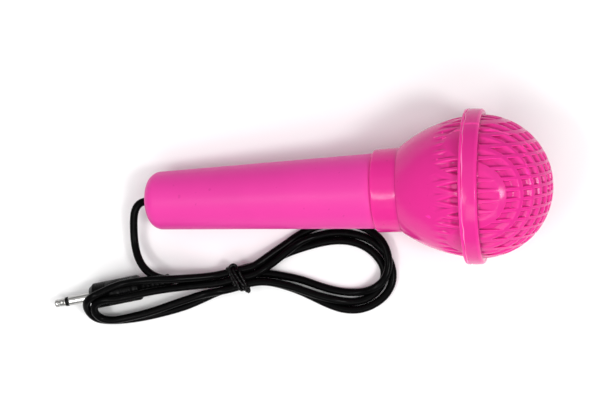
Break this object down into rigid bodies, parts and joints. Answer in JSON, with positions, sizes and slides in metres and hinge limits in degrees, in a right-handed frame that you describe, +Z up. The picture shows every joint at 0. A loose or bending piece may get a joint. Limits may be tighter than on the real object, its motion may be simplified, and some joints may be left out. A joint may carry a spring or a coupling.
{
  "type": "toy microphone",
  "caption": "Toy karaoke microphone lying on its flange, with ribbed ball front, tapered handle and a thin cord tied in a hank that ends in a small jack plug.",
  "frame": {"origin": "on the table surface, under the middle of the microphone's box, cord and plug not counted", "axes": "+X towards the ball end, along the handle as seen from above; +Y to the left of the microphone, away from the tied cord; +Z up"},
  "size_m": [0.1837, 0.0725, 0.0542],
  "materials": {
    "handle_pink": "satin hot pink moulded plastic",
    "head_pink": "glossy hot pink moulded plastic",
    "carrier_white": "white nylon",
    "boot_rubber": "soft dark rubber",
    "can_metal": "drawn aluminium",
    "felt_black": "thin felt",
    "membrane_gold": "metallised film on a ring",
    "steel_inside": "stamped steel",
    "board_green": "solder-masked circuit board",
    "solder": "solder",
    "wire_white": "insulated wire",
    "wire_copper": "bare copper and brass",
    "cord_black": "satin black flexible PVC",
    "tie_black": "glossy plastic coated wire",
    "plug_black": "satin black moulded PVC with fine ribs",
    "premould_ivory": "inner pre-moulding",
    "plug_metal": "nickel plated turned brass",
    "insulator_black": "black insulator"
  },
  "bodies": {
    "root": {"handle": "handle_pink", "rear_bowl": "head_pink", "front_dome": "head_pink", "capsule_carrier": "carrier_white", "capsule_boot": "boot_rubber", "capsule_can": "can_metal", "capsule_felt": "felt_black", "capsule_membrane": "membrane_gold", "capsule_backplate": "steel_inside", "capsule_board": "board_green", "solder_joints": "solder", "signal_wire": "wire_white", "ground_wire": "wire_copper", "cord_inside_handle": "cord_black", "internal_cable_tie": "carrier_white", "cord_lead": "cord_black", "cord_hank_right": "cord_black", "cord_hank_left": "cord_black", "cord_end": "cord_black", "twist_tie": "tie_black", "plug_overmould": "plug_black", "plug_premould": "premould_ivory", "cord_inside_plug": "cord_black", "plug_lugs": "wire_copper", "plug_sleeve": "plug_metal", "plug_insulator": "insulator_black", "plug_tip": "plug_metal"}
  },
  "joints": []
}
